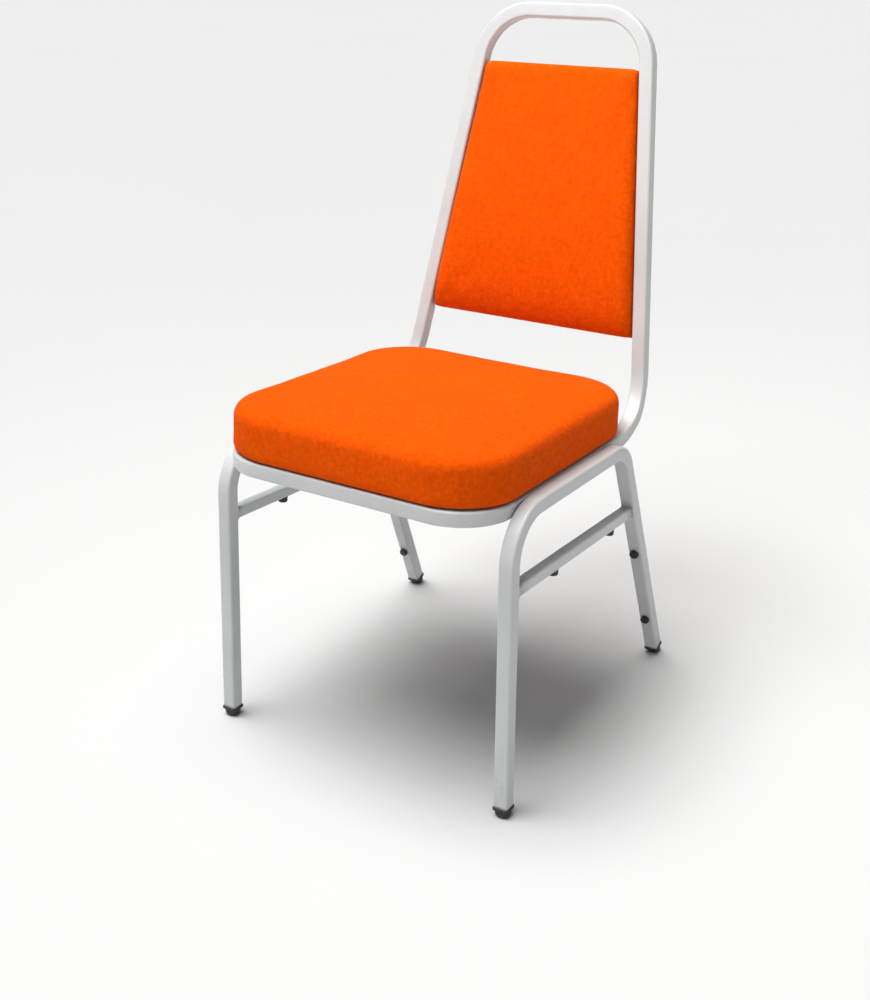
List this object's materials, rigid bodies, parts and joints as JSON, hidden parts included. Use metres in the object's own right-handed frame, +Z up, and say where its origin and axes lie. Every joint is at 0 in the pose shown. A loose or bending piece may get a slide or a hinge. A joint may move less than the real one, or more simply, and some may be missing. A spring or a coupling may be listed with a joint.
{
  "type": "stacking chair",
  "caption": "Stacking chair with a bent square-tube steel frame, side stretchers, an orange upholstered seat and back, and black plastic feet and stacking buffers.",
  "frame": {"origin": "on the floor, under the middle of the bounding box", "axes": "+X towards the sitter's left-hand side seen from the front as the right, +Y from the front of the seat towards the back, +Z up"},
  "size_m": [0.44, 0.555, 0.8994],
  "materials": {
    "frame_paint": "satin light warm grey epoxy powder coat",
    "seat_fabric": "fine woven vivid orange upholstery cloth",
    "black_plastic": "satin black moulded plastic",
    "plywood": "raw birch plywood",
    "zinc_steel": "bright zinc plated",
    "dust_cloth": "black non-woven cloth"
  },
  "bodies": {
    "root": {"hoop_frame": "frame_paint", "leg_frame_right": "frame_paint", "stretcher_right": "frame_paint", "stacking_buffer_front_right": "black_plastic", "foot_front_right": "black_plastic", "seat_lug_front_right": "frame_paint", "seat_screw_front_right": "zinc_steel", "seat_tee_nut_front_right": "zinc_steel", "stacking_buffer_rear_right": "black_plastic", "foot_rear_right": "black_plastic", "seat_lug_rear_right": "frame_paint", "seat_screw_rear_right": "zinc_steel", "seat_tee_nut_rear_right": "zinc_steel", "leg_buffer_upper_right": "black_plastic", "back_tab_upper_right": "zinc_steel", "back_screw_upper_right": "zinc_steel", "leg_buffer_lower_right": "black_plastic", "back_tab_lower_right": "zinc_steel", "back_screw_lower_right": "zinc_steel", "leg_frame_left": "frame_paint", "stretcher_left": "frame_paint", "stacking_buffer_front_left": "black_plastic", "foot_front_left": "black_plastic", "seat_lug_front_left": "frame_paint", "seat_screw_front_left": "zinc_steel", "seat_tee_nut_front_left": "zinc_steel", "stacking_buffer_rear_left": "black_plastic", "foot_rear_left": "black_plastic", "seat_lug_rear_left": "frame_paint", "seat_screw_rear_left": "zinc_steel", "seat_tee_nut_rear_left": "zinc_steel", "leg_buffer_upper_left": "black_plastic", "back_tab_upper_left": "zinc_steel", "back_screw_upper_left": "zinc_steel", "leg_buffer_lower_left": "black_plastic", "back_tab_lower_left": "zinc_steel", "back_screw_lower_left": "zinc_steel", "rear_cross_rail": "frame_paint", "seat_board": "plywood", "seat_dust_cover": "dust_cloth", "seat_cushion": "seat_fabric", "back_board": "plywood", "back_cushion": "seat_fabric", "back_rear_panel": "seat_fabric"}
  },
  "joints": []
}
